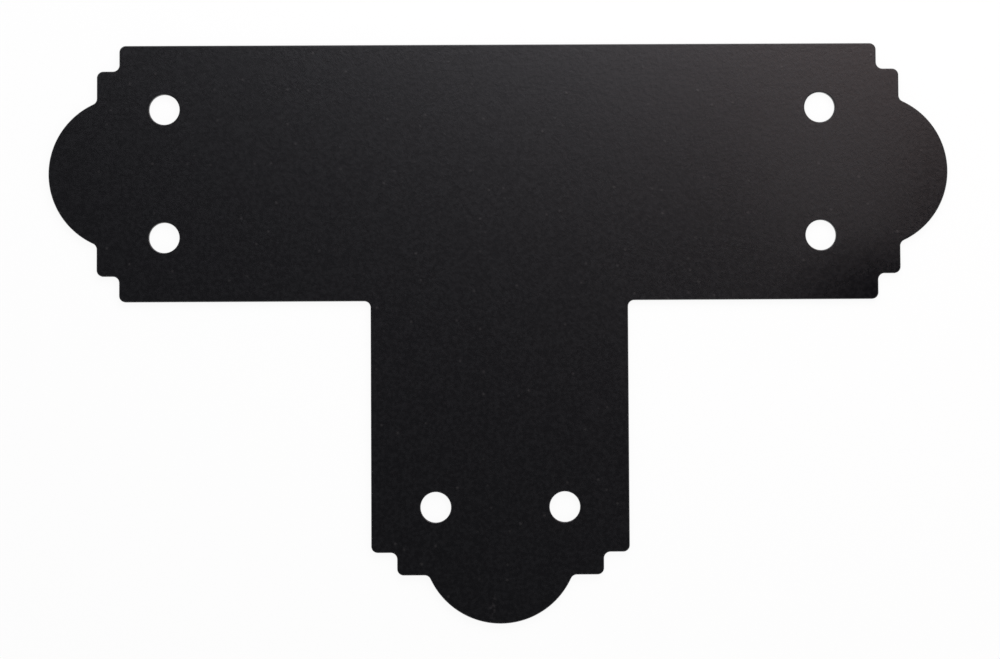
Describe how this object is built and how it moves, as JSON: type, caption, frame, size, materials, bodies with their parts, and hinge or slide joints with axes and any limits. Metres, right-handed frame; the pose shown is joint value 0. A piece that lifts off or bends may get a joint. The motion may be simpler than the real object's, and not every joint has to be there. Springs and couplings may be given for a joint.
{
  "type": "t plate bracket",
  "caption": "Flat black coated steel plate in the form of a T, with stepped and lobed ends and screw holes, that ties a timber post to a beam.",
  "frame": {"origin": "where the centrelines of the bar and the stem cross, on the back face", "axes": "+X along the bar, -Y down the stem, +Z out of the front face; the plate lies on its back face"},
  "size_m": [0.4444, 0.2857, 0.0028],
  "materials": {
    "powder_coat": "satin black powder coat with a fine grain"
  },
  "bodies": {
    "root": {"t_plate": "powder_coat"}
  },
  "joints": []
}
